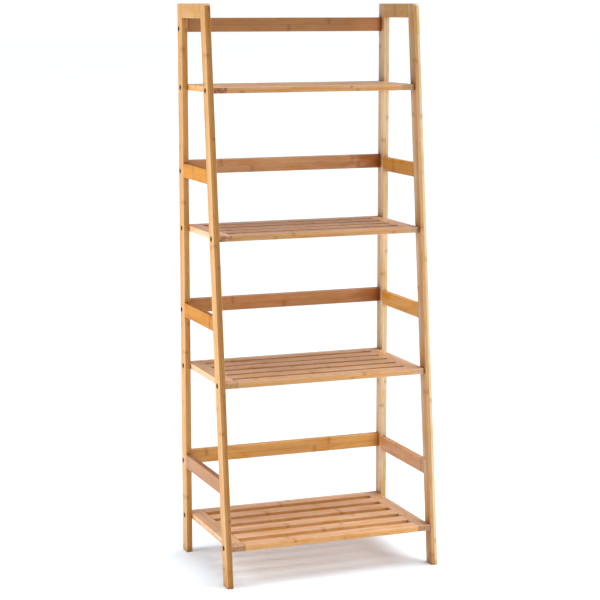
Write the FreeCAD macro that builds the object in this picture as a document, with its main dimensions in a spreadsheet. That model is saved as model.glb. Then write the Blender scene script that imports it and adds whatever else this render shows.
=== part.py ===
import FreeCAD, Part
import os

import Sketcher

# A slatted bamboo ladder shelf in flat-pack joinery, in millimetres.
# The frame is +X to the right, +Y to the back, +Z up, with the origin on the floor under the middle.
# Shelf 1 is the highest and shelf 4 the lowest. Left is -X and right is +X.

# Driving dimensions: alias in the sheet, value, what it measures.
SIZES = (
    ("width", 480, "over the outer faces of the legs"),
    ("height", 1200, "floor to the top of the legs"),
    ("floor_depth", 310, "front face of a front leg to rear face of a rear leg, at the floor"),
    ("top_depth", 184, "the same distance at the top, where the front legs lean back"),
    ("leg_thickness", 13, "legs, top rails and guards, side to side"),
    ("leg_depth", 30, "legs, front to back"),
    ("leg_corner_radius", 8, "rounded top front corner of a front leg"),
    ("edge_radius", 1.2, "eased long edges of legs and rails"),
    ("rail_height", 30, "top rails, guards and back rails"),
    ("back_rail_thickness", 16, "front to back"),
    ("back_rail_drop", 30, "top of the legs down to the top of the highest back rail"),
    ("back_rail_rise", 140, "top of a shelf up to the top of the back rail above it"),
    ("guard_rise", 134.5, "top of a shelf up to the top of the guards above it"),
    ("shelf_thickness", 12.5, "end boards and slats"),
    ("end_board_width", 30, "side to side"),
    ("slat_width", 32, "front to back"),
    ("board_edge_radius", 0.8, "eased edges of end boards and slats"),
    ("tenon_length", 12, "tongue on each end of a slat"),
    ("tenon_width", 24, "front to back"),
    ("tenon_thickness", 6, "up and down"),
    ("shelf_1_top", 1030, "floor to the top of the shelf"),
    ("shelf_2_top", 727.5, "floor to the top of the shelf"),
    ("shelf_3_top", 425, "floor to the top of the shelf"),
    ("shelf_4_top", 87.5, "floor to the top of the shelf"),
    ("shelf_1_depth", 195, "front to back"),
    ("shelf_2_depth", 225, "front to back"),
    ("shelf_3_depth", 260, "front to back"),
    ("shelf_4_depth", 300, "front to back"),
    ("shelf_1_slats", 4, "number of slats"),
    ("shelf_2_slats", 5, "number of slats"),
    ("shelf_3_slats", 6, "number of slats"),
    ("shelf_4_slats", 6, "number of slats"),
    ("front_bolt_setback", 17, "front face of a front leg back to its bolts"),
    ("rail_bolt_rise", 7, "bottom of a back rail up to its bolt"),
    ("rail_dowel_rise", 22, "bottom of a back rail up to its dowel"),
    ("low_dowel_rise", 8, "bottom of a top rail or guard up to its lower dowel"),
    ("high_dowel_rise", 22, "bottom of a top rail or guard up to its upper dowel"),
    ("bolt_diameter", 6, "shank of a button-head bolt"),
    ("bolt_length", 20, "shank, under the head"),
    ("bolt_head_diameter", 10.5, "button head"),
    ("bolt_head_height", 3.3, "button head"),
    ("bolt_head_radius", 1.8, "rounded rim of the head"),
    ("bolt_socket_radius", 2.3, "centre to corner of the hexagon socket"),
    ("bolt_socket_depth", 2, "hexagon socket"),
    ("bolt_hole", 6.5, "clearance hole in a leg"),
    ("counterbore_diameter", 11.5, "recess for a bolt head in a leg's outer face"),
    ("counterbore_depth", 5, "the same recess"),
    ("insert_diameter", 9, "outside of a threaded insert"),
    ("insert_bore", 6.1, "inside of a threaded insert"),
    ("insert_length", 15, "flush with the end of its board or rail"),
    ("dowel_diameter", 6, "wooden dowel"),
    ("dowel_hole", 6.1, "bore for a dowel"),
    ("dowel_length", 28, "wooden dowel"),
    ("dowel_chamfer", 0.8, "both ends of a dowel"),
    ("dowel_spare", 1, "extra depth of a dowel's bore beyond its end, in the rail"),
    ("side_dowel_in_leg", 14, "depth of a side frame's dowel bore in a leg"),
    ("rail_dowel_in_leg", 8, "depth of a back rail's dowel bore in a leg"),
    ("drill_run", 2, "how far a cutting cylinder reaches out of the wood"),
)

SIDES = {"left": -1, "right": 1}
SHELVES = (1, 2, 3, 4)
GUARDED_SHELVES = {"upper": 2, "middle": 3, "lower": 4}
SOCKET_SIDES = 6
# How near a length in millimetres, and the cosine of an angle, must be to count as equal.
SAME_LENGTH = 0.01
SAME_DIRECTION = 0.999

# Expressions that several pieces share. Lengths along Y and Z are in the shelf's own frame.
REAR = "Sizes.floor_depth / 2"
REAR_LEG_FRONT = f"({REAR} - Sizes.leg_depth)"
INNER_WIDTH = "(Sizes.width - 2 * Sizes.leg_thickness)"
SIDE_CENTRE = "(Sizes.width - Sizes.leg_thickness) / 2"
RAKE = "(Sizes.floor_depth - Sizes.top_depth)"
TOP_RAIL_BOTTOM = "(Sizes.height - Sizes.rail_height)"
REAR_BOLT_Y = f"({REAR} - Sizes.leg_depth / 2)"
RAIL_CENTRE_Y = f"({REAR} - Sizes.back_rail_thickness / 2)"


def front_leg_front(level):
    """Y of the front leg's front face at a height."""
    return f"({RAKE} * ({level}) / Sizes.height - {REAR})"


def front_leg_rear(level):
    """Y of the front leg's rear face at a height."""
    return f"({front_leg_front(level)} + Sizes.leg_depth)"


def front_bolt_y(level):
    return f"({front_leg_front(level)} + Sizes.front_bolt_setback)"


def shelf_bottom(shelf):
    return f"(Sizes.shelf_{shelf}_top - Sizes.shelf_thickness)"


def shelf_middle(shelf):
    return f"(Sizes.shelf_{shelf}_top - Sizes.shelf_thickness / 2)"


def guard_bottom(shelf):
    return f"(Sizes.shelf_{shelf}_top + Sizes.guard_rise - Sizes.rail_height)"


def back_rail_bottom(shelf):
    """The highest rail hangs below the tops of the legs, and the others stand above their shelves."""
    if shelf == SHELVES[0]:
        return "(Sizes.height - Sizes.back_rail_drop - Sizes.rail_height)"
    return f"(Sizes.shelf_{shelf}_top + Sizes.back_rail_rise - Sizes.rail_height)"


def slat_pitch(shelf):
    """From one slat's middle to the next, so that the first and last are flush with the shelf's edges."""
    return f"((Sizes.shelf_{shelf}_depth - Sizes.slat_width) / (Sizes.shelf_{shelf}_slats - 1))"


def side_rail_bottoms():
    """The bottoms of the four rails in one side frame: the top rail's, then the guards'."""
    return [TOP_RAIL_BOTTOM] + [guard_bottom(shelf) for shelf in GUARDED_SHELVES.values()]


def side_dowel_levels():
    rises = ("Sizes.low_dowel_rise", "Sizes.high_dowel_rise")
    return [f"({bottom} + {rise})" for bottom in side_rail_bottoms() for rise in rises]


def rail_bolt_level(shelf):
    return f"({back_rail_bottom(shelf)} + Sizes.rail_bolt_rise)"


def rail_dowel_level(shelf):
    return f"({back_rail_bottom(shelf)} + Sizes.rail_dowel_rise)"


def make_sheet(doc):
    sheet = doc.addObject("Spreadsheet::Sheet", "Sizes")
    for row, (alias, size, note) in enumerate(SIZES, 1):
        sheet.set(f"A{row}", alias)
        sheet.set(f"B{row}", str(size))
        sheet.set(f"C{row}", note)
        sheet.setAlias(f"B{row}", alias)
    doc.recompute()
    return sheet


def number(holder, expression):
    """The present value of an expression."""
    found = holder.evalExpression(expression)
    return float(getattr(found, "Value", found))


def make_body(doc, name, across="0", along="0", up="0"):
    """A body whose own origin stands at a place in the shelf's frame, each coordinate an expression."""
    body = doc.addObject("PartDesign::Body", name)
    body.Label = name
    place(body, across, along, up)
    return body


def place(piece, across, along, up):
    piece.setExpression("Placement.Base.x", across)
    piece.setExpression("Placement.Base.y", along)
    piece.setExpression("Placement.Base.z", up)


def add_sketch(body, role, offset="0"):
    """A sketch parallel to one of the body's origin planes, moved along that plane's normal."""
    plane = next(feature for feature in body.Origin.OriginFeatures if feature.Role == role)
    sketch = body.newObject("Sketcher::SketchObject", "Sketch")
    sketch.AttachmentSupport = (plane, [""])
    sketch.MapMode = "FlatFace"
    sketch.setExpression("AttachmentOffset.Base.z", offset)
    return sketch


def pin_point(sketch, geometry, vertex, across, up):
    """Holds a point of the sketch at a distance from its origin, both ways."""
    for kind, expression in (("DistanceX", across), ("DistanceY", up)):
        size = number(sketch, expression)
        index = sketch.addConstraint(Sketcher.Constraint(kind, -1, 1, geometry, vertex, size))
        sketch.setExpression(f"Constraints[{index}]", expression)


def draw_outline(sketch, corners):
    """A closed outline with straight sides; each corner is a pair of expressions."""
    points = [FreeCAD.Vector(number(sketch, across), number(sketch, up), 0) for across, up in corners]
    following = points[1:] + points[:1]
    sides = [sketch.addGeometry(Part.LineSegment(*ends), False) for ends in zip(points, following)]
    for side, following_side in zip(sides, sides[1:] + sides[:1]):
        sketch.addConstraint(Sketcher.Constraint("Coincident", side, 2, following_side, 1))
    for side, (across, up) in zip(sides, corners):
        pin_point(sketch, side, 1, across, up)


def draw_rectangle(sketch, low_across, high_across, low_up, high_up):
    corners = ((low_across, low_up), (high_across, low_up), (high_across, high_up), (low_across, high_up))
    draw_outline(sketch, corners)


def draw_circles(sketch, diameter, centres):
    normal = FreeCAD.Vector(0, 0, 1)
    for across, up in centres:
        centre = FreeCAD.Vector(number(sketch, across), number(sketch, up), 0)
        circle = sketch.addGeometry(Part.Circle(centre, normal, number(sketch, diameter) / 2), False)
        pin_point(sketch, circle, 3, across, up)
        index = sketch.addConstraint(Sketcher.Constraint("Diameter", circle, number(sketch, diameter)))
        sketch.setExpression(f"Constraints[{index}]", diameter)


def add_pad(body, sketch, length, side_type="Symmetric"):
    pad = body.newObject("PartDesign::Pad", "Pad")
    pad.Profile = sketch
    pad.SideType = side_type
    pad.setExpression("Length", length)
    return pad


def add_pocket(body, sketch, depth, reversed_way):
    """A pocket cuts against its sketch's normal, or along it when reversed."""
    pocket = body.newObject("PartDesign::Pocket", "Pocket")
    pocket.Profile = sketch
    pocket.Reversed = reversed_way
    pocket.setExpression("Length", depth)
    return pocket


def add_fillet(doc, body, radius, wanted):
    """Rounds the edges of the body's last feature that wanted() accepts."""
    doc.recompute()
    feature = body.Tip
    names = [f"Edge{index}" for index, edge in enumerate(feature.Shape.Edges, 1) if wanted(edge)]
    fillet = body.newObject("PartDesign::Fillet", "Fillet")
    fillet.Base = (feature, names)
    fillet.setExpression("Radius", radius)
    return fillet


def runs_along(axis):
    """Accepts straight edges that run along an axis."""
    return lambda edge: abs(edge.tangentAt(edge.FirstParameter).dot(axis)) > SAME_DIRECTION


def any_edge(edge):
    return edge.Length > 0


def add_bolt_holes(doc, body, side, centres):
    """Counterbored clearance holes right through a leg, from its outer face."""
    sketch = add_sketch(body, "YZ_Plane", f"{SIDES[side]} * Sizes.leg_thickness / 2")
    draw_circles(sketch, "Sizes.bolt_hole", centres)
    doc.recompute()
    hole = body.newObject("PartDesign::Hole", "BoltHoles")
    hole.Profile = sketch
    doc.recompute()
    hole.Threaded = False
    hole.DepthType = "ThroughAll"
    hole.HoleCutType = "Counterbore"
    hole.HoleCutCustomValues = True
    hole.Reversed = SIDES[side] < 0
    hole.setExpression("Diameter", "Sizes.bolt_hole")
    hole.setExpression("HoleCutDiameter", "Sizes.counterbore_diameter")
    hole.setExpression("HoleCutDepth", "Sizes.counterbore_depth")


def add_dowel_bore(body, bottom, level, depth, way):
    """A flat-bottomed bore along Y that opens towards +Y (way 1) or -Y (way -1)."""
    bore = body.newObject("PartDesign::SubtractiveCylinder", "DowelBore")
    bore.setExpression("Radius", "Sizes.dowel_hole / 2")
    bore.setExpression("Height", f"{depth} + Sizes.drill_run")
    bore.Placement = FreeCAD.Placement(
        FreeCAD.Vector(), FreeCAD.Rotation(FreeCAD.Vector(1, 0, 0), -90 * way)
    )
    bore.setExpression("Placement.Base.y", bottom)
    bore.setExpression("Placement.Base.z", level)


def make_rear_leg(doc, side):
    body = make_body(doc, f"{side}_rear_leg", f"{SIDES[side]} * {SIDE_CENTRE}", REAR)
    profile = add_sketch(body, "YZ_Plane")
    draw_rectangle(profile, "-Sizes.leg_depth", "0", "0", "Sizes.height")
    add_pad(body, profile, "Sizes.leg_thickness")
    add_fillet(doc, body, "Sizes.edge_radius", any_edge)
    shelf_bolts = [("-Sizes.leg_depth / 2", shelf_middle(shelf)) for shelf in SHELVES]
    rail_bolts = [("-Sizes.back_rail_thickness / 2", rail_bolt_level(shelf)) for shelf in SHELVES]
    add_bolt_holes(doc, body, side, shelf_bolts + rail_bolts)
    rail_dowels = [("-Sizes.back_rail_thickness / 2", rail_dowel_level(shelf)) for shelf in SHELVES]
    inner_face = add_sketch(body, "YZ_Plane", f"{-SIDES[side]} * Sizes.leg_thickness / 2")
    draw_circles(inner_face, "Sizes.dowel_hole", rail_dowels)
    add_pocket(body, inner_face, "Sizes.rail_dowel_in_leg", SIDES[side] > 0)
    for level in side_dowel_levels():
        bottom = "Sizes.side_dowel_in_leg - Sizes.leg_depth"
        add_dowel_bore(body, bottom, level, "Sizes.side_dowel_in_leg", -1)
    return body


def make_front_leg(doc, side):
    """The profile leans back; its foot and its top are cut level."""
    body = make_body(doc, f"{side}_front_leg", f"{SIDES[side]} * {SIDE_CENTRE}", f"-{REAR}")
    profile = add_sketch(body, "YZ_Plane")
    draw_outline(profile, (
        ("0", "0"),
        ("Sizes.leg_depth", "0"),
        (f"{RAKE} + Sizes.leg_depth", "Sizes.height"),
        (RAKE, "Sizes.height"),
    ))
    add_pad(body, profile, "Sizes.leg_thickness")
    doc.recompute()
    top_front = FreeCAD.Vector(0, number(body, RAKE), number(body, "Sizes.height"))
    add_fillet(doc, body, "Sizes.leg_corner_radius", lambda edge: is_at(edge, top_front))
    add_fillet(doc, body, "Sizes.edge_radius", any_edge)
    middles = [shelf_middle(shelf) for shelf in SHELVES]
    bolts = [(f"{front_bolt_y(level)} + {REAR}", level) for level in middles]
    add_bolt_holes(doc, body, side, bolts)
    for level in side_dowel_levels():
        bottom = f"{front_leg_rear(level)} + {REAR} - Sizes.side_dowel_in_leg"
        add_dowel_bore(body, bottom, level, "Sizes.side_dowel_in_leg", 1)
    return body


def is_at(edge, place_in_profile):
    """Whether an edge across the leg passes through a point of its profile."""
    middle = edge.valueAt((edge.FirstParameter + edge.LastParameter) / 2)
    return (middle - place_in_profile).Length < SAME_LENGTH


def make_side_rail(doc, name, side, bottom):
    """A top rail or a guard: square at the rear leg, cut to the rake at the front leg."""
    body = make_body(doc, name, f"{SIDES[side]} * {SIDE_CENTRE}", REAR_LEG_FRONT, bottom)
    top = f"({bottom} + Sizes.rail_height)"
    profile = add_sketch(body, "YZ_Plane")
    draw_outline(profile, (
        (f"{front_leg_rear(bottom)} - {REAR_LEG_FRONT}", "0"),
        ("0", "0"),
        ("0", "Sizes.rail_height"),
        (f"{front_leg_rear(top)} - {REAR_LEG_FRONT}", "Sizes.rail_height"),
    ))
    add_pad(body, profile, "Sizes.leg_thickness")
    add_fillet(doc, body, "Sizes.edge_radius", runs_along(FreeCAD.Vector(0, 1, 0)))
    depth = "(Sizes.dowel_length - Sizes.side_dowel_in_leg + Sizes.dowel_spare)"
    for rise in ("Sizes.low_dowel_rise", "Sizes.high_dowel_rise"):
        front_end = f"{front_leg_rear(f'{bottom} + {rise}')} - {REAR_LEG_FRONT}"
        add_dowel_bore(body, f"-{depth}", rise, depth, 1)
        add_dowel_bore(body, f"{front_end} + {depth}", rise, depth, -1)
    return body


def make_back_rail(doc, shelf):
    """Each end takes an insert for the bolt and, above it, a dowel; both ends are alike."""
    body = make_body(doc, f"back_rail_{shelf}", "0", REAR, back_rail_bottom(shelf))
    profile = add_sketch(body, "YZ_Plane")
    draw_rectangle(profile, "-Sizes.back_rail_thickness", "0", "0", "Sizes.rail_height")
    add_pad(body, profile, INNER_WIDTH)
    add_fillet(doc, body, "Sizes.edge_radius", runs_along(FreeCAD.Vector(1, 0, 0)))
    middle = "-Sizes.back_rail_thickness / 2"
    insert_face = add_sketch(body, "YZ_Plane", f"{INNER_WIDTH} / 2")
    draw_circles(insert_face, "Sizes.insert_diameter", [(middle, "Sizes.rail_bolt_rise")])
    insert_bore = add_pocket(body, insert_face, "Sizes.insert_length", False)
    dowel_face = add_sketch(body, "YZ_Plane", f"{INNER_WIDTH} / 2")
    draw_circles(dowel_face, "Sizes.dowel_hole", [(middle, "Sizes.rail_dowel_rise")])
    dowel_depth = "Sizes.dowel_length - Sizes.rail_dowel_in_leg + Sizes.dowel_spare"
    dowel_bore = add_pocket(body, dowel_face, dowel_depth, False)
    add_mirror(body, [insert_bore, dowel_bore])
    return body


def add_mirror(body, features):
    """Repeats features on the other side of the body's YZ plane."""
    mirror = body.newObject("PartDesign::Mirrored", "Mirrored")
    mirror.Originals = features
    plane = next(feature for feature in body.Origin.OriginFeatures if feature.Role == "YZ_Plane")
    mirror.MirrorPlane = (plane, [""])
    body.Tip = mirror


def make_end_board(doc, shelf, side):
    """Runs front to back at one end of a shelf: inserts on the leg side, mortises on the slat side."""
    across = f"{SIDES[side]} * ({INNER_WIDTH} - Sizes.end_board_width) / 2"
    body = make_body(doc, f"shelf_{shelf}_{side}_end_board", across, REAR, shelf_bottom(shelf))
    profile = add_sketch(body, "YZ_Plane")
    draw_rectangle(profile, f"-Sizes.shelf_{shelf}_depth", "0", "0", "Sizes.shelf_thickness")
    add_pad(body, profile, "Sizes.end_board_width")
    add_fillet(doc, body, "Sizes.board_edge_radius", any_edge)
    middle = "Sizes.shelf_thickness / 2"
    bolts = ("-Sizes.leg_depth / 2", f"{front_bolt_y(shelf_middle(shelf))} - {REAR}")
    leg_face = add_sketch(body, "YZ_Plane", f"{SIDES[side]} * Sizes.end_board_width / 2")
    draw_circles(leg_face, "Sizes.insert_diameter", [(along, middle) for along in bolts])
    add_pocket(body, leg_face, "Sizes.insert_length", SIDES[side] < 0)
    slat_face = add_sketch(body, "YZ_Plane", f"{-SIDES[side]} * Sizes.end_board_width / 2")
    draw_rectangle(
        slat_face,
        "-(Sizes.slat_width + Sizes.tenon_width) / 2",
        "-(Sizes.slat_width - Sizes.tenon_width) / 2",
        f"{middle} - Sizes.tenon_thickness / 2",
        f"{middle} + Sizes.tenon_thickness / 2",
    )
    mortise = add_pocket(body, slat_face, "Sizes.tenon_length", SIDES[side] > 0)
    add_row(body, mortise, slat_face, f"Sizes.shelf_{shelf}_depth - Sizes.slat_width", shelf)
    return body


def add_row(body, feature, sketch, length, shelf):
    """Repeats a feature for each slat, towards the front of the shelf."""
    row = body.newObject("PartDesign::LinearPattern", "LinearPattern")
    row.Originals = [feature]
    row.Direction = (sketch, ["H_Axis"])
    row.Reversed = True
    row.setExpression("Length", length)
    row.setExpression("Occurrences", f"Sizes.shelf_{shelf}_slats")
    body.Tip = row


def make_slat(doc, shelf, index):
    """A board between the end boards, with a tenon at each end. Slats are counted from the rear."""
    along = f"{REAR} - Sizes.slat_width / 2 - {index} * {slat_pitch(shelf)}"
    body = make_body(doc, f"shelf_{shelf}_slat_{index + 1}", "0", along, shelf_bottom(shelf))
    board = add_sketch(body, "YZ_Plane")
    draw_rectangle(board, "-Sizes.slat_width / 2", "Sizes.slat_width / 2", "0", "Sizes.shelf_thickness")
    between = f"({INNER_WIDTH} - 2 * Sizes.end_board_width)"
    add_pad(body, board, between)
    add_fillet(doc, body, "Sizes.board_edge_radius", runs_along(FreeCAD.Vector(1, 0, 0)))
    tenons = add_sketch(body, "YZ_Plane")
    draw_rectangle(
        tenons,
        "-Sizes.tenon_width / 2",
        "Sizes.tenon_width / 2",
        "(Sizes.shelf_thickness - Sizes.tenon_thickness) / 2",
        "(Sizes.shelf_thickness + Sizes.tenon_thickness) / 2",
    )
    add_pad(body, tenons, f"{between} + 2 * Sizes.tenon_length")
    return body


def make_bolt(doc):
    """Button-head bolt along Z, its head above the origin and its shank below."""
    body = make_body(doc, "one_bolt")
    head = add_sketch(body, "XY_Plane")
    draw_circles(head, "Sizes.bolt_head_diameter", [("0", "0")])
    add_pad(body, head, "Sizes.bolt_head_height", "One side")
    doc.recompute()
    rim = number(body, "Sizes.bolt_head_height")
    add_fillet(doc, body, "Sizes.bolt_head_radius", lambda edge: edge.BoundBox.ZMin > rim - SAME_LENGTH)
    socket = body.newObject("PartDesign::SubtractivePrism", "Socket")
    socket.Polygon = SOCKET_SIDES
    socket.setExpression("Circumradius", "Sizes.bolt_socket_radius")
    socket.setExpression("Height", "Sizes.bolt_socket_depth")
    socket.setExpression("Placement.Base.z", "Sizes.bolt_head_height - Sizes.bolt_socket_depth")
    shank = body.newObject("PartDesign::AdditiveCylinder", "Shank")
    shank.setExpression("Radius", "Sizes.bolt_diameter / 2")
    shank.setExpression("Height", "Sizes.bolt_length")
    shank.setExpression("Placement.Base.z", "-Sizes.bolt_length")
    return body


def make_insert(doc):
    """Threaded insert along Z, its open outer end at the origin."""
    outside = doc.addObject("Part::Cylinder", "InsertOutside")
    outside.setExpression("Radius", "Sizes.insert_diameter / 2")
    bore = doc.addObject("Part::Cylinder", "InsertBore")
    bore.setExpression("Radius", "Sizes.insert_bore / 2")
    for cylinder in (outside, bore):
        cylinder.setExpression("Height", "Sizes.insert_length")
        cylinder.setExpression("Placement.Base.z", "-Sizes.insert_length")
    tube = doc.addObject("Part::Cut", "one_insert")
    tube.Base = outside
    tube.Tool = bore
    return tube


def make_dowel(doc):
    """Chamfered dowel along Z, from the origin up."""
    rod = doc.addObject("Part::Cylinder", "DowelRod")
    rod.setExpression("Radius", "Sizes.dowel_diameter / 2")
    rod.setExpression("Height", "Sizes.dowel_length")
    doc.recompute()
    rims = [index for index, edge in enumerate(rod.Shape.Edges, 1) if edge.Closed]
    chamfer = number(rod, "Sizes.dowel_chamfer")
    dowel = doc.addObject("Part::Chamfer", "one_dowel")
    dowel.Base = rod
    dowel.Edges = [(index, chamfer, chamfer) for index in rims]
    return dowel


def make_group(doc, name, master, places):
    """Copies of one fastener, each turned so that its Z runs along an axis and set at a place."""
    copies = []
    for axis, where in places:
        copy = doc.addObject("App::Link", f"{name}_copy")
        copy.LinkedObject = master
        copy.LinkTransform = True
        copy.Placement = FreeCAD.Placement(
            FreeCAD.Vector(), FreeCAD.Rotation(FreeCAD.Vector(0, 0, 1), FreeCAD.Vector(*axis))
        )
        place(copy, *where)
        copies.append(copy)
    group = doc.addObject("Part::Compound", name)
    group.Label = name
    group.Links = copies
    return group


def shelf_bolt_lines():
    """Y and Z of the bolts in one side frame that hold the shelves."""
    middles = [shelf_middle(shelf) for shelf in SHELVES]
    return [(REAR_BOLT_Y, level) for level in middles] + [(front_bolt_y(level), level) for level in middles]


def rail_bolt_lines():
    return [(RAIL_CENTRE_Y, rail_bolt_level(shelf)) for shelf in SHELVES]


def at_sides(lines, across):
    """Both side frames' places on lines along X, with Z of the piece pointing out of the shelf."""
    return [((way, 0, 0), (f"{way} * ({across})", *line)) for way in SIDES.values() for line in lines]


def side_dowel_places():
    """Dowels along Y, two at each end of each top rail and guard."""
    places = []
    for way in SIDES.values():
        across = f"{way} * {SIDE_CENTRE}"
        for level in side_dowel_levels():
            front = f"{front_leg_rear(level)} - Sizes.side_dowel_in_leg"
            rear = f"{REAR_LEG_FRONT} + Sizes.side_dowel_in_leg - Sizes.dowel_length"
            places.append(((0, 1, 0), (across, front, level)))
            places.append(((0, 1, 0), (across, rear, level)))
    return places


def make_hardware(doc):
    bolt = make_bolt(doc)
    insert = make_insert(doc)
    dowel = make_dowel(doc)
    head_seat = "Sizes.width / 2 - Sizes.counterbore_depth"
    board_end = f"{INNER_WIDTH} / 2"
    dowel_start = f"{INNER_WIDTH} / 2 + Sizes.rail_dowel_in_leg - Sizes.dowel_length"
    rail_dowel_lines = [(RAIL_CENTRE_Y, rail_dowel_level(shelf)) for shelf in SHELVES]
    return [
        make_group(doc, "shelf_bolts", bolt, at_sides(shelf_bolt_lines(), head_seat)),
        make_group(doc, "back_rail_bolts", bolt, at_sides(rail_bolt_lines(), head_seat)),
        make_group(doc, "shelf_inserts", insert, at_sides(shelf_bolt_lines(), board_end)),
        make_group(doc, "back_rail_inserts", insert, at_sides(rail_bolt_lines(), board_end)),
        make_group(doc, "back_rail_dowels", dowel, at_sides(rail_dowel_lines, dowel_start)),
        make_group(doc, "side_frame_dowels", dowel, side_dowel_places()),
    ]


def make_side_frame(doc, side):
    rails = {f"{side}_top_rail": TOP_RAIL_BOTTOM}
    rails.update({f"{side}_{name}_guard": guard_bottom(shelf) for name, shelf in GUARDED_SHELVES.items()})
    pieces = [make_rear_leg(doc, side), make_front_leg(doc, side)]
    pieces.extend(make_side_rail(doc, name, side, bottom) for name, bottom in rails.items())
    return pieces


def make_shelf(doc, sheet, shelf):
    slats = int(sheet.get(f"shelf_{shelf}_slats"))
    pieces = [make_end_board(doc, shelf, side) for side in SIDES]
    pieces.extend(make_slat(doc, shelf, index) for index in range(slats))
    return pieces


def check(doc, pieces):
    """Stops before anything is written if an object failed or a piece isn't sound."""
    failed = [item.Name for item in doc.Objects if {"Invalid", "Error"} & set(item.State)]
    unsound = [piece.Label for piece in pieces if piece.Shape.isNull() or not piece.Shape.isValid()]
    if failed or unsound:
        raise RuntimeError(f"failed objects: {failed}; unsound pieces: {unsound}")


def main():
    doc = FreeCAD.newDocument("LadderShelf")
    sheet = make_sheet(doc)
    pieces = []
    for side in SIDES:
        pieces.extend(make_side_frame(doc, side))
    for shelf in SHELVES:
        pieces.append(make_back_rail(doc, shelf))
        pieces.extend(make_shelf(doc, sheet, shelf))
    pieces.extend(make_hardware(doc))
    doc.recompute()
    check(doc, pieces)
    os.makedirs("parts", exist_ok=True)
    for piece in pieces:
        piece.Shape.exportStep(f"parts/{piece.Label}.step")
        print(f"{piece.Label}: {len(piece.Shape.Solids)} solid(s), {piece.Shape.Volume:.1f} mm3")


main()
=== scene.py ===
import math

import bpy
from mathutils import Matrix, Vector


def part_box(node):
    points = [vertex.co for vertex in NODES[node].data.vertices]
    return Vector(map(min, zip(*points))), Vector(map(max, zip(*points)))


# The looks of a ladder shelf: laminated bamboo on every wooden piece, black bolts, zinc-plated inserts and a
# white studio. Lengths are in metres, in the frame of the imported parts: +X right, +Y back, +Z up.

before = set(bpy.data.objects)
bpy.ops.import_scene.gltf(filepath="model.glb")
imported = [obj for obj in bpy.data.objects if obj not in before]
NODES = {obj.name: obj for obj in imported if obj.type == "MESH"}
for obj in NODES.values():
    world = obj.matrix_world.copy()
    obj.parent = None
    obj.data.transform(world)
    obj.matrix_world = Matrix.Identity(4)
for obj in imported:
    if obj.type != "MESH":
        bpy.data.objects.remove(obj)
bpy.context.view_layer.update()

X_AXIS = Vector((1, 0, 0))
Y_AXIS = Vector((0, 1, 0))
Z_AXIS = Vector((0, 0, 1))

# How a piece lies: the way of its grain, then the two ways across it.
WAYS = ("Along", "Across", "Through")
UPRIGHT = (Z_AXIS, Y_AXIS, X_AXIS)
FRONT_TO_BACK_ON_EDGE = (Y_AXIS, Z_AXIS, X_AXIS)
FRONT_TO_BACK_FLAT = (Y_AXIS, X_AXIS, Z_AXIS)
SIDEWAYS_ON_EDGE = (X_AXIS, Z_AXIS, Y_AXIS)
SIDEWAYS_FLAT = (X_AXIS, Y_AXIS, Z_AXIS)

# How a piece is glued up: strips across, and plies through.
FOUR_STRIPS = (2, 2)
TWO_PLIES = (1, 2)
ONE_STRIP = (1, 1)

# The wood's own sizes.
GLUE_LINE = 0.00035  # half the width of a glue line, with its soft edges
GLUE_CORE = 0.3  # the share of that half which is fully dark
CULM_NODE_GAP = 0.25  # the least distance between two culm nodes of a strip
CULM_NODE_SPREAD = 0.14  # how much longer that distance may be
CULM_NODE_WOBBLE = 0.010  # how far a culm node wanders along the strip in all
CREVICE_REACH = 0.030  # how far off another surface still shades this one
END_GRAIN_SCALES = (40.0, 1000.0, 1000.0)  # vessels to the metre along, across and through
STRIP_SHIFT = 9.0  # how far apart in the noise two strips may lie
CREVICE_SAMPLES = 6

# Layers of noise: how often each repeats to the metre along and across the grain, its detail and roughness.
FIBRE_LAYERS = {
    "slow": (3.0, 60.0, 2.0, 0.5),
    "streaks": (9.0, 420.0, 3.0, 0.55),
    "fine": (60.0, 2600.0, 2.0, 0.6),
    "mottle": (55.0, 90.0, 3.0, 0.6),
    "patches": (14.0, 45.0, 2.0, 0.5),
}

# The tone goes from 0, the dark one, to 1, the light one. These are how far strips and layers move it.
STRIP_CONTRAST = 0.4
TONE_SHARES = {"slow": 0.9, "streaks": 0.85, "mottle": 0.25}
FAR_END_WANDER = 0.25  # how unevenly the painted shadow at a piece's far end begins, as a share of its length

# Where each mask sets in: a low and a high value of what it is made from, and the mask at each of them.
MASKS = {
    "seam": (0.0004, 0.0022, 1.0, 0.0),
    "stain": (0.0015, 0.0095, 1.0, 0.0),
    "patchy": (0.35, 0.62, 0.35, 1.0),
    "ochre": (0.50, 0.66, 0.0, 0.80),
    "edge": (0.70, 0.95, 0.0, 1.0),
    "far end": (0.80, 0.93, 0.0, 1.0),
    "flecks": (0.54, 0.72, 0.0, 0.44),
    "eased_edge": (0.80, 0.985, 0.30, 0.0),
    "vessels": (0.22, 0.42, 0.75, 0.0),
    "pale end grain": (0.42, 0.62, 0.0, 0.8),
    "cut": (0.86, 0.97, 0.0, 1.0),
    "crevice": (0.30, 0.92, 1.0, 0.0),
    "deep crevice": (0.22, 0.50, 0.85, 0.0),
}

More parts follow.
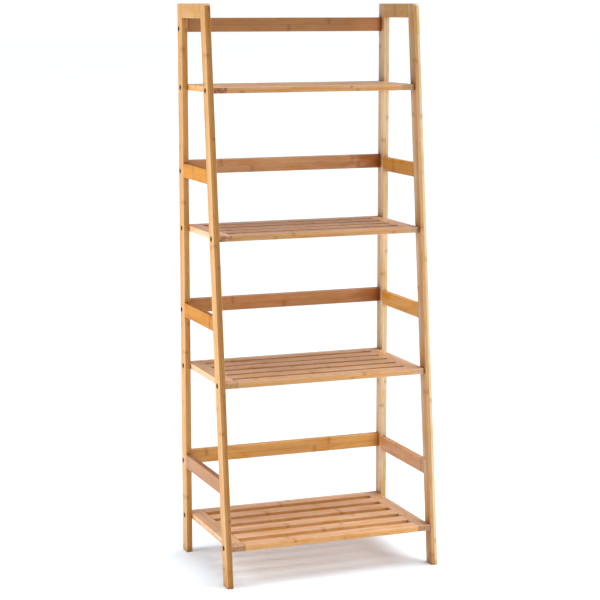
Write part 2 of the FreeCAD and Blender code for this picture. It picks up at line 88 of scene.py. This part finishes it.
# Linear colours that multiply the wood's colour where their masks say. The ones that STRENGTHS names are laid
# on that much more thinly.
TINTS = {
    "ochre": (0.94, 0.80, 0.44, 1.0),
    "flecks": (0.45, 0.30, 0.16, 1.0),
    "stain": (0.62, 0.42, 0.30, 1.0),
    "seam": (0.38, 0.22, 0.13, 1.0),
    "glue": (0.50, 0.36, 0.22, 1.0),
    "vessels": (0.42, 0.30, 0.22, 1.0),
    "cut glue": (0.35, 0.22, 0.14, 1.0),
    "crevice": (0.66, 0.42, 0.17, 1.0),
    "deep crevice": (0.22, 0.15, 0.12, 1.0),
}
STRENGTHS = {"stain": 0.32, "seam": 0.50, "glue": 0.65, "cut glue": 0.6}
# Painted highlight that pales the eased edges.
EDGE_HIGHLIGHT_COLOUR = (1.0, 0.86, 0.66, 1.0)

# The lacquer: its roughness, what streaks, cut ends and eased edges add to that, and its reflections.
LACQUER_ROUGHNESS = 0.34
STREAK_ROUGHNESS = 0.16
CUT_ROUGHNESS = 0.25
EASED_EDGE_ROUGHNESS = 0.2
LACQUER_SPECULAR = 0.32
COAT_WEIGHT = 0.07
COAT_ROUGHNESS = 0.28

# The relief that the bump shows: what each feature raises or sinks, and the bump's own height.
FINE_RELIEF = 0.5
STREAK_RELIEF = 0.5
SEAM_RELIEF = 0.8
VESSEL_RELIEF = 0.8
BUMP_STRENGTH = 0.5
BUMP_HEIGHT = 0.00012

# Display colours of the palest and the darkest strips of each kind of bamboo.
TONES = {
    "honey": ("d8a25c", "ab722e"),
    "cream": ("e6c89c", "bf884c"),
    "amber": ("cd8a2e", "a0641a"),
    "saffron": ("e0a04a", "b5782a"),
    "russet": ("bd8552", "93603a"),
    "brown": ("b98049", "98612f"),
    "tan": ("d69c67", "b57b48"),
    "chestnut": ("cc8b4e", "ae7236"),
    "golden": ("ecb060", "c98c3e"),
    "wheat": ("ecb473", "cb9256"),
    "rose": ("e2b58e", "bb885f"),
    "dusky_rose": ("d9ae89", "b3825b"),
    "pale_rose": ("e9bd94", "c49063"),
    "palest_rose": ("f5c79d", "d09a6c"),
    "raw": ("dfc296", "c4a070"),
}
NO_TINT = "ffffff"
END_GRAIN = "8a4f2a"

# A piece's polish scales its reflections. The guards are duller than the other pieces, which have 1.
MATT = 0.2
SATIN = 0.7

# Each side's legs: their tones, the drift of the rear and of the front leg, part ply tone and part painted
# light and shade, and the front leg's painted shade on its front and back faces.
LEGS = {
    "left": ("honey", -0.35, -0.35, "eee2d6"),
    "right": ("cream", 0.0, 0.8, NO_TINT),
}
TOP_RAIL_TONES = "honey"
TOP_RAIL_DRIFT = -0.4
GUARDS = {
    "left": (("upper", "amber", MATT), ("middle", "amber", MATT), ("lower", "russet", SATIN)),
    "right": (("upper", "saffron", MATT), ("middle", "golden", MATT), ("lower", "tan", SATIN)),
}

# From the top one down: the tones of a back rail, and the painted shadow of the right legs towards its right
# end.
BACK_RAILS = (("brown", "ffeed2"), ("tan", "cfa85c"), ("chestnut", "dac184"), ("golden", NO_TINT))

# From the top shelf down: the tones of its slats, then those of an end board and of the board's end grain.
SLAT_TONES = ("rose", "dusky_rose", "pale_rose", "palest_rose")
# Painted warm shade on the front and back sides of every slat, the faces that look into the gaps.
SLAT_SIDE_SHADE_TINT = "f9e6b8"
END_BOARDS = {
    "left": (
        ("wheat", "844a28"), ("palest_rose", "9a6238"), ("palest_rose", "b88a52"), ("pale_rose", "b07a54"),
    ),
    "right": (
        ("rose", "b98d62"), ("pale_rose", "c29a74"), ("palest_rose", "c89c74"), ("rose", "a87e5a"),
    ),
}

# The first seed of each kind of piece. The pieces count on from it, so no two have the same grain.
REAR_LEG_SEED = 3.1
FRONT_LEG_SEED = 5.4
SIDE_RAIL_SEED = 8.3
BACK_RAIL_SEED = 20.7
SLAT_SEED = 40.2
SLAT_SEEDS_PER_SHELF = 10
END_BOARD_SEED = 90.6
BACK_RAIL_DOWEL_SEED = 120.3
SIDE_FRAME_DOWEL_SEED = 121.8

# The mix node repeats its sockets' names for each type of data, so its colour sockets are found by number.
MIX_SHARE, MIX_FIRST, MIX_SECOND, MIX_RESULT = 0, 6, 7, 2


class Graph:
    """Adds nodes to a node tree. Any input may be a number, a tuple or another node's output."""

    def __init__(self, tree):
        self.tree = tree

    def add(self, kind, inputs=None, **settings):
        node = self.tree.nodes.new(kind)
        for name, setting in settings.items():
            setattr(node, name, setting)
        for key, source in (inputs or {}).items():
            self.feed(node.inputs[key], source)
        return node

    def feed(self, socket, source):
        if isinstance(source, bpy.types.NodeSocket):
            self.tree.links.new(source, socket)
        else:
            socket.default_value = source

    def chain(self, kind, sources, **settings):
        """A node whose inputs are given in order."""
        node = self.add(kind, **settings)
        for socket, source in zip(node.inputs, sources):
            self.feed(socket, source)
        return node

    def math(self, operation, *sources):
        return self.chain("ShaderNodeMath", sources, operation=operation).outputs[0]

    def vector(self, operation, *sources):
        node = self.chain("ShaderNodeVectorMath", sources, operation=operation)
        return node.outputs["Value" if operation == "DOT_PRODUCT" else "Vector"]

    def point(self, *coordinates):
        return self.chain("ShaderNodeCombineXYZ", coordinates).outputs[0]

    def parts(self, vector):
        return self.add("ShaderNodeSeparateXYZ", {"Vector": vector}).outputs

    def ramp(self, source, low, high, at_low, at_high):
        """A smooth step: at_low below low, at_high above high."""
        sizes = {"Value": source, "From Min": low, "From Max": high, "To Min": at_low, "To Max": at_high}
        return self.add("ShaderNodeMapRange", sizes, interpolation_type="SMOOTHSTEP").outputs["Result"]

    def noise(self, place, detail, roughness):
        inputs = {"Vector": place, "Scale": 1.0, "Detail": detail, "Roughness": roughness}
        return self.add("ShaderNodeTexNoise", inputs, noise_dimensions="3D").outputs["Fac"]

    def random(self, place):
        """Three random numbers from a point."""
        node = self.add("ShaderNodeTexWhiteNoise", {"Vector": place}, noise_dimensions="3D")
        return self.parts(node.outputs["Color"])

    def blend(self, share, first, second, how="MIX"):
        node = self.add("ShaderNodeMix", data_type="RGBA", blend_type=how, clamp_factor=True)
        self.feed(node.inputs[MIX_SHARE], share)
        self.feed(node.inputs[MIX_FIRST], first)
        self.feed(node.inputs[MIX_SECOND], second)
        return node.outputs[MIX_RESULT]

    def centred(self, source, size):
        """Turns a number from 0 to 1 into one from -size / 2 to size / 2."""
        return self.math("MULTIPLY", self.math("SUBTRACT", source, 0.5), size)


class BambooTexture:
    """Laminated bamboo as a solid texture, from strips that run along the grain, in a node group.

    Of the group's inputs, Along is the way of the grain, and Across and Through are the two ways across it.
    Origin is a corner of the piece, and Size is its extent in those three directions. Strips and Plies are
    how many strips it has across and through. Drift is how much paler each ply is than the one before it.
    The tint for the sides that face Across paints shade on them, and the tint for the far end paints a cast
    shadow over the last part of the piece's length.
    """

    INPUTS = {
        "Vector": ("Origin", "Size") + WAYS,
        "Float": ("Strips", "Plies", "Seed", "Drift"),
        "Color": ("Light", "Dark", "Side shade tint", "Far shadow tint", "End grain"),
    }
    OUTPUTS = {"Color": ("Color",), "Float": ("Roughness", "Height")}

    def __init__(self):
        self.tree = bpy.data.node_groups.new("laminated_bamboo", "ShaderNodeTree")
        self.graph = Graph(self.tree)
        self.add_sockets("INPUT", self.INPUTS)
        self.add_sockets("OUTPUT", self.OUTPUTS)
        self.given = self.graph.add("NodeGroupInput").outputs
        self.measure()
        self.lay_strips()
        self.grow_fibres()
        self.grow_culm_nodes()
        self.find_eased_edges()
        self.cut_ends()
        finished = {"Color": self.colour(), "Roughness": self.roughness(), "Height": self.height()}
        self.graph.add("NodeGroupOutput", finished)

    def add_sockets(self, in_out, sockets):
        for kind, names in sockets.items():
            for name in names:
                self.tree.interface.new_socket(name=name, in_out=in_out, socket_type=f"NodeSocket{kind}")

    def mask(self, name, source):
        return self.graph.ramp(source, *MASKS[name])

    def tint(self, name, base, mask):
        """Multiplies a colour by a tint where the mask says."""
        if name in STRENGTHS:
            mask = self.graph.math("MULTIPLY", mask, STRENGTHS[name])
        return self.graph.blend(mask, base, TINTS[name], "MULTIPLY")

    def measure(self):
        """Where a point is in its piece, and how squarely its surface faces each way."""
        graph, given = self.graph, self.given
        place = graph.add("ShaderNodeTexCoord").outputs["Object"]
        offset = graph.vector("SUBTRACT", place, given["Origin"])
        normal = graph.add("ShaderNodeNewGeometry").outputs["Normal"]
        self.along, self.across, self.through = (
            graph.vector("DOT_PRODUCT", offset, given[way]) for way in WAYS
        )
        self.facing = {
            way: graph.math("ABSOLUTE", graph.vector("DOT_PRODUCT", normal, given[way])) for way in WAYS
        }
        self.length, self.width, self.thickness = graph.parts(given["Size"])

    def split(self, place, size, count):
        """Splits a size into equal strips: a strip's number, and a mask of the glue lines between strips."""
        graph = self.graph
        share = graph.math("MULTIPLY", graph.math("DIVIDE", place, size), count)
        last = graph.math("SUBTRACT", count, 1.0)
        number = graph.math("MAXIMUM", graph.math("MINIMUM", graph.math("FLOOR", share), last), 0.0)
        line = graph.math("ROUND", share)
        off_line = graph.math("ABSOLUTE", graph.math("SUBTRACT", share, line))
        distance = graph.math("DIVIDE", graph.math("MULTIPLY", off_line, size), count)
        glue = graph.ramp(distance, GLUE_LINE * GLUE_CORE, GLUE_LINE, 1.0, 0.0)
        inside_low = graph.math("GREATER_THAN", line, 0.5)
        inside_high = graph.math("LESS_THAN", line, graph.math("SUBTRACT", count, 0.5))
        return number, graph.math("MULTIPLY", glue, graph.math("MULTIPLY", inside_low, inside_high))

    def lay_strips(self):
        strip, strip_glue = self.split(self.across, self.width, self.given["Strips"])
        self.ply, ply_glue = self.split(self.through, self.thickness, self.given["Plies"])
        self.glue = self.graph.math("MAXIMUM", strip_glue, ply_glue)
        self.strip_random = self.graph.random(self.graph.point(strip, self.ply, self.given["Seed"]))

    def grow_fibres(self):
        """Noise drawn out along the grain, from another place in the noise for each strip."""
        graph = self.graph
        strip_shift = graph.math("MULTIPLY", self.strip_random[0], STRIP_SHIFT)
        shift = graph.math("ADD", strip_shift, self.given["Seed"])
        self.layers = {}
        for name, (along_scale, cross_scale, detail, roughness) in FIBRE_LAYERS.items():
            place_in_strip = graph.point(
                graph.math("MULTIPLY", self.along, along_scale),
                graph.math("MULTIPLY", self.across, cross_scale),
                graph.math("MULTIPLY_ADD", self.through, cross_scale, shift),
            )
            self.layers[name] = graph.noise(place_in_strip, detail, roughness)

    def grow_culm_nodes(self):
        """A dark, patchy seam across each strip, with a stained band on both sides of it."""
        graph = self.graph
        gap = graph.math("MULTIPLY_ADD", self.strip_random[1], CULM_NODE_SPREAD, CULM_NODE_GAP)
        wobble = graph.centred(self.layers["mottle"], CULM_NODE_WOBBLE)
        start = graph.math("MULTIPLY_ADD", self.strip_random[2], gap, wobble)
        turn = graph.math("FRACT", graph.math("DIVIDE", graph.math("ADD", self.along, start), gap))
        from_node = graph.math("MULTIPLY", graph.math("ABSOLUTE", graph.math("SUBTRACT", turn, 0.5)), gap)
        self.patchy = self.mask("patchy", self.layers["streaks"])
        self.seam = graph.math("MULTIPLY", self.mask("seam", from_node), self.patchy)
        self.stain = self.mask("stain", from_node)

    def find_eased_edges(self):
        """An eased edge faces none of the three ways squarely."""
        along, across, through = self.facing.values()
        squarest = self.graph.math("MAXIMUM", self.graph.math("MAXIMUM", along, across), through)
        self.eased_edge = self.mask("eased_edge", squarest)

    def cut_ends(self):
        """Where the end grain shows, and its vessels."""
        places = zip((self.along, self.across, self.through), END_GRAIN_SCALES)
        cut_place = self.graph.point(*(self.graph.math("MULTIPLY", place, scale) for place, scale in places))
        cells = self.graph.add("ShaderNodeTexVoronoi", {"Vector": cut_place, "Scale": 1.0}, feature="F1")
        self.vessels = self.mask("vessels", cells.outputs["Distance"])
        self.is_cut = self.mask("cut", self.facing["Along"])

    def tone(self):
        """The tone of the wood, from 0 to 1."""
        graph = self.graph
        middle_ply = graph.math("MULTIPLY", graph.math("SUBTRACT", self.given["Plies"], 1.0), 0.5)
        drift = graph.math("MULTIPLY", graph.math("SUBTRACT", self.ply, middle_ply), self.given["Drift"])
        from_average = graph.math("SUBTRACT", self.strip_random[0], 0.5)
        tone = graph.math("MULTIPLY_ADD", from_average, STRIP_CONTRAST, 0.5)
        tone = graph.math("ADD", tone, drift)
        for layer, share in TONE_SHARES.items():
            tone = graph.math("ADD", tone, graph.centred(self.layers[layer], share))
        return graph.math("MINIMUM", graph.math("MAXIMUM", tone, 0.0), 1.0)

    def side_grain(self):
        """The colour of the wood's long faces, with painted shade on some sides and ends. Eased edges are a
        little paler, as a painted highlight.
        """
        graph, given, layers = self.graph, self.given, self.layers
        wood = graph.blend(self.tone(), given["Dark"], given["Light"])
        wood = self.tint("ochre", wood, self.mask("ochre", layers["patches"]))
        # Painted shade on the sides that face Across.
        wood = graph.blend(self.mask("edge", self.facing["Across"]), wood, given["Side shade tint"], "MULTIPLY")
        # Painted cast shadow over the last part of the piece's length.
        share = graph.math("DIVIDE", self.along, self.length)
        far = graph.math("ADD", share, graph.centred(layers["patches"], FAR_END_WANDER))
        wood = graph.blend(self.mask("far end", far), wood, given["Far shadow tint"], "MULTIPLY")
        wood = self.tint("flecks", wood, self.mask("flecks", layers["fine"]))
        wood = self.tint("stain", wood, self.stain)
        wood = self.tint("seam", wood, self.seam)
        wood = self.tint("glue", wood, self.glue)
        # Painted highlight on the eased edges, patchy along the grain.
        return graph.blend(graph.math("MULTIPLY", self.eased_edge, self.patchy), wood, EDGE_HIGHLIGHT_COLOUR, "SCREEN")

    def end_grain(self):
        """The colour of the wood's cut ends: packed dark vessels, and glue lines between the plies."""
        pale = self.mask("pale end grain", self.layers["mottle"])
        cut = self.graph.blend(pale, self.given["End grain"], self.given["Dark"])
        cut = self.tint("vessels", cut, self.vessels)
        return self.tint("cut glue", cut, self.glue)

    def colour(self):
        """The wood with the shade that gathers where pieces meet and down the gaps between them."""
        near = {"Distance": CREVICE_REACH}
        openness = self.graph.add("ShaderNodeAmbientOcclusion", near, samples=CREVICE_SAMPLES).outputs["AO"]
        colour = self.graph.blend(self.is_cut, self.side_grain(), self.end_grain())
        for name in ("crevice", "deep crevice"):
            colour = self.tint(name, colour, self.mask(name, openness))
        return colour

    def roughness(self):
        graph = self.graph
        rough = graph.math("MULTIPLY_ADD", self.layers["streaks"], STREAK_ROUGHNESS, LACQUER_ROUGHNESS)
        rough = graph.math("ADD", rough, graph.math("MULTIPLY", self.is_cut, CUT_ROUGHNESS))
        return graph.math("ADD", rough, graph.math("MULTIPLY", self.eased_edge, EASED_EDGE_ROUGHNESS))

    def height(self):
        """Fibres stand up, and glue lines, seams and vessels are sunk."""
        graph = self.graph
        streaks = graph.math("MULTIPLY", self.layers["streaks"], STREAK_RELIEF)
        height = graph.math("MULTIPLY_ADD", self.layers["fine"], FINE_RELIEF, streaks)
        height = graph.math("SUBTRACT", height, self.glue)
        height = graph.math("SUBTRACT", height, graph.math("MULTIPLY", self.seam, SEAM_RELIEF))
        pits = graph.math("MULTIPLY", self.vessels, self.is_cut)
        return graph.math("SUBTRACT", height, graph.math("MULTIPLY", pits, VESSEL_RELIEF))


BAMBOO = BambooTexture().tree


def shaded(hexadecimal):
    """A display colour, in sRGB, as the linear colour that shaders use."""
    channels = [int(hexadecimal[index:index + 2], 16) / 255 for index in (0, 2, 4)]
    return tuple(c / 12.92 if c <= 0.04045 else ((c + 0.055) / 1.055) ** 2.4 for c in channels) + (1.0,)


def new_material(name):
    material = bpy.data.materials.new(name)
    material.use_nodes = True
    material.node_tree.nodes.clear()
    return material, Graph(material.node_tree)


def finish_material(graph, surface):
    graph.add("ShaderNodeOutputMaterial", {"Surface": surface.outputs["BSDF"]})


def bamboo(name, origin, ways, size, layup, seed, tones, end_grain=END_GRAIN, edge_tint=NO_TINT,
           far_tint=NO_TINT, drift=0.0, polish=1.0):
    """A lacquered bamboo material for one piece; ways are the directions along, across and through."""
    light, dark = TONES[tones]
    strips, plies = layup
    inputs = {"Origin": origin, "Size": size, "Strips": strips, "Plies": plies, "Seed": seed, "Drift": drift}
    inputs.update(zip(WAYS, ways))
    colours = {"Light": light, "Dark": dark, "End grain": end_grain}
    colours.update({"Side shade tint": edge_tint, "Far shadow tint": far_tint})
    inputs.update({key: shaded(colour) for key, colour in colours.items()})
    material, graph = new_material(name)
    wood = graph.add("ShaderNodeGroup", inputs, node_tree=BAMBOO)
    relief = {"Height": wood.outputs["Height"], "Strength": BUMP_STRENGTH, "Distance": BUMP_HEIGHT}
    bump = graph.add("ShaderNodeBump", relief)
    surface = graph.add("ShaderNodeBsdfPrincipled", {
        "Base Color": wood.outputs["Color"],
        "Roughness": wood.outputs["Roughness"],
        "Normal": bump.outputs["Normal"],
        "Specular IOR Level": LACQUER_SPECULAR * polish,
        "Coat Weight": COAT_WEIGHT * polish,
        "Coat Roughness": COAT_ROUGHNESS,
    })
    finish_material(graph, surface)
    return material


def metal(name, base, bright, roughness, grain_scale):
    """Steel with fine scuffs that bare a brighter colour."""
    material, graph = new_material(name)
    place = graph.add("ShaderNodeTexCoord").outputs["Object"]
    grain = graph.noise(graph.vector("MULTIPLY", place, (grain_scale,) * 3), detail=4.0, roughness=0.6)
    scuffs = graph.ramp(grain, low=0.60, high=0.75, at_low=0.0, at_high=0.6)
    bump = graph.add("ShaderNodeBump", {"Height": grain, "Strength": 0.3, "Distance": 0.0001})
    surface = graph.add("ShaderNodeBsdfPrincipled", {
        "Base Color": graph.blend(scuffs, shaded(base), shaded(bright)),
        "Roughness": graph.math("MULTIPLY_ADD", grain, 0.25, roughness),
        "Normal": bump.outputs["Normal"],
        "Metallic": 0.85,
    })
    finish_material(graph, surface)
    return material


def dress(node, material):
    mesh = NODES[node].data
    mesh.materials.clear()
    mesh.materials.append(material)


def dress_bar(node, ways, layup, seed, tones, **looks):
    """Bamboo for a piece or a group of pieces that lie along the axes of the frame."""
    low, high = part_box(node)
    span = high - low
    size = [abs(span.dot(way)) for way in ways]
    dress(node, bamboo(f"{node}_bamboo", low, ways, size, layup, seed, tones, **looks))


def dress_front_leg(node, rear_leg, seed, tones, **looks):
    """The front leg's grain follows its rake, and it is as deep as the rear leg."""
    low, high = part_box(node)
    rear_low, rear_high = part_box(rear_leg)
    depth = rear_high.y - rear_low.y
    grain = Vector((0, high.y - low.y - depth, high.z - low.z)).normalized()
    ways = (grain, grain.cross(X_AXIS), X_AXIS)
    size = (high.z - low.z, depth, high.x - low.x)
    dress(node, bamboo(f"{node}_bamboo", low, ways, size, FOUR_STRIPS, seed, tones, **looks))


def dress_side_frames():
    """The legs, top rail and guards of each side. The legs' drift sets which side of them is paler: partly
    the plies' own tones, partly painted light on the left legs' outer sides and painted shade on the right
    front leg's inner side.
    """
    for order, (side, (tones, rear_drift, front_drift, front_leg_shade_tint)) in enumerate(LEGS.items()):
        rear_leg = f"{side}_rear_leg"
        dress_bar(rear_leg, UPRIGHT, FOUR_STRIPS, REAR_LEG_SEED + order, tones, drift=rear_drift)
        front_looks = {"drift": front_drift, "edge_tint": front_leg_shade_tint}
        dress_front_leg(f"{side}_front_leg", rear_leg, FRONT_LEG_SEED + order, tones, **front_looks)
        rails_on_a_side = 1 + len(GUARDS[side])
        seed = SIDE_RAIL_SEED + rails_on_a_side * order
        top_rail = f"{side}_top_rail"
        dress_bar(top_rail, FRONT_TO_BACK_ON_EDGE, TWO_PLIES, seed, TOP_RAIL_TONES, drift=TOP_RAIL_DRIFT)
        for level, (height, guard_tones, polish) in enumerate(GUARDS[side], 1):
            guard = f"{side}_{height}_guard"
            dress_bar(guard, FRONT_TO_BACK_ON_EDGE, TWO_PLIES, seed + level, guard_tones, polish=polish)


def dress_back_rails():
    # The second colour of each rail paints the shadow of the right legs over its right end.
    for level, (tones, stain) in enumerate(BACK_RAILS, 1):
        seed = BACK_RAIL_SEED + level
        dress_bar(f"back_rail_{level}", SIDEWAYS_ON_EDGE, FOUR_STRIPS, seed, tones, far_tint=stain)


def dress_shelves():
    for level, slat_tones in enumerate(SLAT_TONES, 1):
        slats = sorted(name for name in NODES if name.startswith(f"shelf_{level}_slat_"))
        for order, slat in enumerate(slats):
            seed = SLAT_SEED + SLAT_SEEDS_PER_SHELF * level + order
            dress_bar(slat, SIDEWAYS_FLAT, FOUR_STRIPS, seed, slat_tones, edge_tint=SLAT_SIDE_SHADE_TINT)
        for order, (side, boards) in enumerate(END_BOARDS.items()):
            tones, cut = boards[level - 1]
            seed = END_BOARD_SEED + len(END_BOARDS) * level + order
            board = f"shelf_{level}_{side}_end_board"
            dress_bar(board, FRONT_TO_BACK_FLAT, FOUR_STRIPS, seed, tones, end_grain=cut)


def dress_hardware():
    black = metal("black_oxide_steel", base="2e241b", bright="65574a", roughness=0.32, grain_scale=900)
    zinc = metal("zinc_plated_steel", base="a9a69c", bright="d2d0c8", roughness=0.28, grain_scale=700)
    for node in ("shelf_bolts", "back_rail_bolts"):
        dress(node, black)
    for node in ("shelf_inserts", "back_rail_inserts"):
        dress(node, zinc)
    dress_bar("back_rail_dowels", SIDEWAYS_FLAT, ONE_STRIP, BACK_RAIL_DOWEL_SEED, "raw")
    dress_bar("side_frame_dowels", FRONT_TO_BACK_FLAT, ONE_STRIP, SIDE_FRAME_DOWEL_SEED, "raw")


def make_floor():
    """A white floor, faintly blue and large enough that its edge is never seen."""
    half = 60.0
    mesh = bpy.data.meshes.new("floor")
    corners = [(-half, -half, 0), (half, -half, 0), (half, half, 0), (-half, half, 0)]
    mesh.from_pydata(corners, [], [(0, 1, 2, 3)])
    floor = bpy.data.objects.new("floor", mesh)
    bpy.context.scene.collection.objects.link(floor)
    material, graph = new_material("studio_floor")
    paint = {"Base Color": (0.90, 0.96, 1.0, 1), "Roughness": 0.6}
    finish_material(graph, graph.add("ShaderNodeBsdfPrincipled", paint))
    mesh.materials.append(material)


def place_and_aim(name, contents, location, target):
    """Puts a light into the scene and points it at the target."""
    piece = bpy.data.objects.new(name, contents)
    piece.location = location
    piece.rotation_euler = (Vector(target) - piece.location).to_track_quat("-Z", "Y").to_euler()
    bpy.context.scene.collection.objects.link(piece)
    return piece


def add_panel(name, location, target, size, power):
    """A rectangular softbox that the camera doesn't see."""
    light = bpy.data.lights.new(name, "AREA")
    light.shape = "RECTANGLE"
    light.size, light.size_y = size
    light.energy = power
    place_and_aim(name, light, location, target).visible_camera = False


def add_sun(name, location, strength, degrees_wide):
    """Even light that comes from the location's direction, softened by its width."""
    light = bpy.data.lights.new(name, "SUN")
    light.energy = strength
    light.angle = math.radians(degrees_wide)
    place_and_aim(name, light, location, target=(0, 0, 0))


def make_world():
    """White behind the object, with a weaker and bluer light on it and in its reflections."""
    ambient, reflected = 0.30, 0.35
    cool, white = (0.70, 0.92, 1.20, 1.0), (1.0, 1.0, 1.0, 1.0)
    world = bpy.data.worlds.new("studio")
    world.use_nodes = True
    world.node_tree.nodes.clear()
    graph = Graph(world.node_tree)
    path = graph.add("ShaderNodeLightPath").outputs
    strength = graph.ramp(path["Is Glossy Ray"], 0.0, 1.0, ambient, reflected)
    strength = graph.math("MAXIMUM", strength, path["Is Camera Ray"])
    colour = graph.blend(path["Is Camera Ray"], cool, white)
    back = graph.add("ShaderNodeBackground", {"Color": colour, "Strength": strength})
    graph.add("ShaderNodeOutputWorld", {"Surface": back.outputs["Background"]})
    bpy.context.scene.world = world


def make_lights():
    add_sun("overhead", (0.5, 0.0, 1.6), strength=3.3, degrees_wide=60)
    add_panel("left_softbox", (-1.0, 0.1, 0.6), target=(0, 0.1, 0.6), size=(0.5, 1.5), power=11)
    add_panel("right_softbox", (0.75, -0.8, 0.6), target=(0.2, -0.1, 0.6), size=(0.35, 1.4), power=5.5)


def make_camera():
    """Seen from the front left, from above the shelf's middle, with a long lens."""
    turn_to_right, tilt_down = 0.3676, 0.1606
    camera = bpy.data.cameras.new("camera")
    camera.sensor_width = 36
    camera.lens = 109.3
    eye = bpy.data.objects.new("camera", camera)
    eye.location = (-1.406, -3.599, 1.197)
    eye.rotation_euler = (math.pi / 2 - tilt_down, 0, -turn_to_right)
    bpy.context.scene.collection.objects.link(eye)
    bpy.context.scene.camera = eye


dress_side_frames()
dress_back_rails()
dress_shelves()
dress_hardware()
make_floor()
make_world()
make_lights()
make_camera()
bpy.context.scene.view_settings.view_transform = "Standard"
